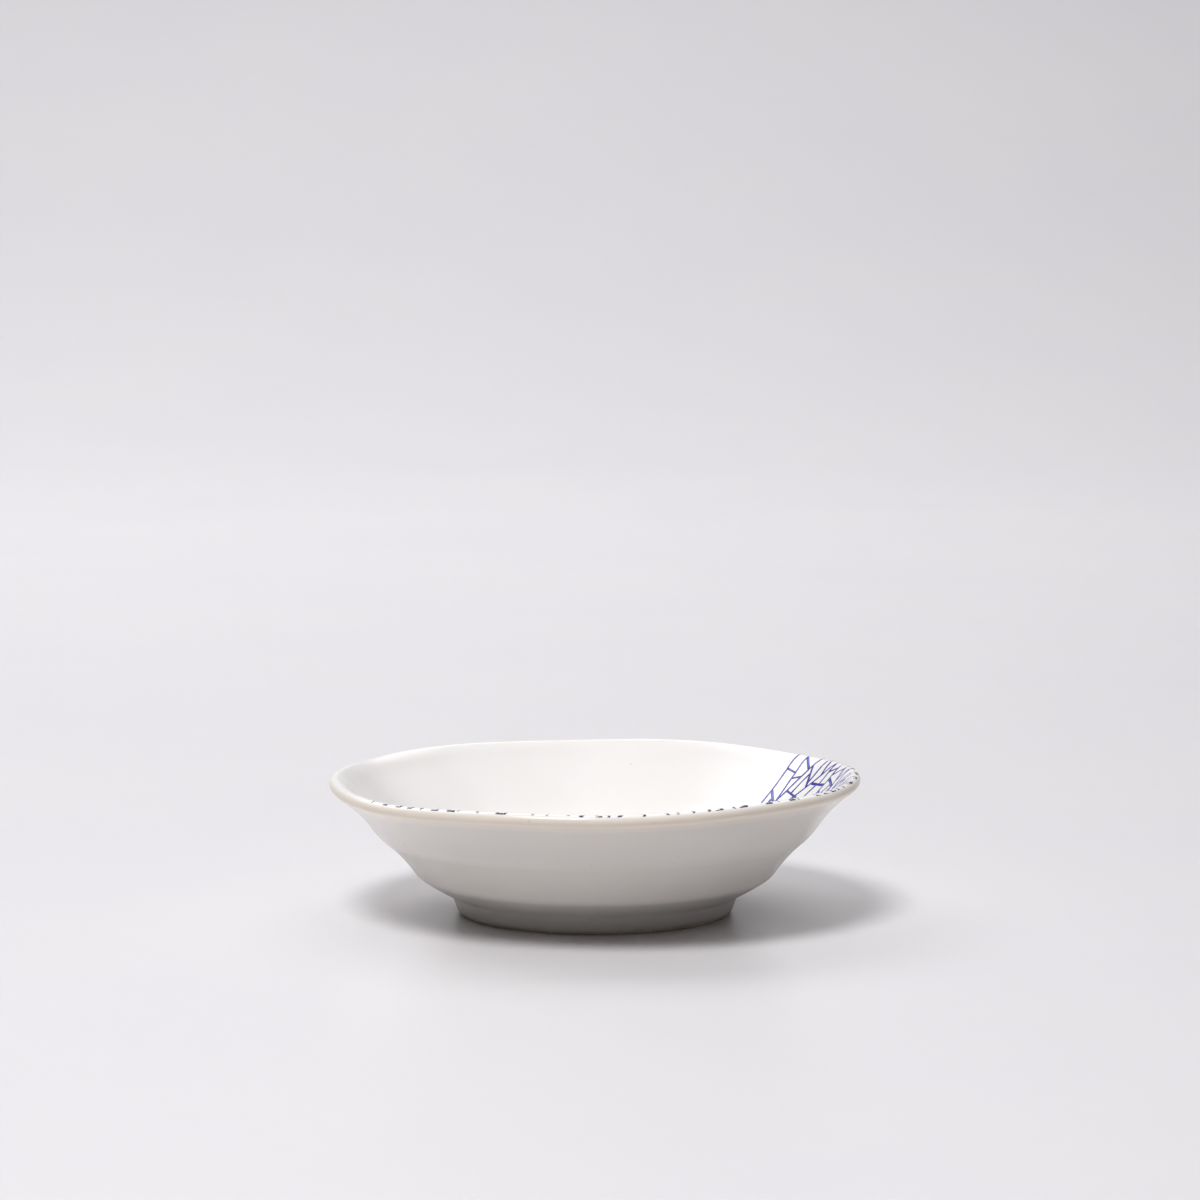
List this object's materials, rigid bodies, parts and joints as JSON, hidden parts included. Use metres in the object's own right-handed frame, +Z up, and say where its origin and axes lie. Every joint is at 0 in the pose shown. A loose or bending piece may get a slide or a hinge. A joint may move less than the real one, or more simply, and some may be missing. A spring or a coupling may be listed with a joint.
{
  "type": "soy sauce dish",
  "caption": "Small round footed soy sauce dish in white glazed ceramic, with a flared wall, a gently waved lip, a foot ring and fine blue painted lines inside.",
  "frame": {"origin": "on the table at the middle of the foot ring", "axes": "+Z up through the middle of the dish, -Y towards the viewer of the picture"},
  "size_m": [0.1, 0.1, 0.0266],
  "materials": {
    "fired_clay": "unglazed, matte",
    "white_glaze": "gloss",
    "cobalt_paint": "painted line under gloss glaze"
  },
  "bodies": {
    "root": {"bowl_body": "fired_clay", "foot_ring": "fired_clay", "slip_joint": "fired_clay", "inside_glaze": "white_glaze", "outside_glaze": "white_glaze", "foot_glaze": "white_glaze", "base_glaze": "white_glaze"}
  },
  "joints": []
}
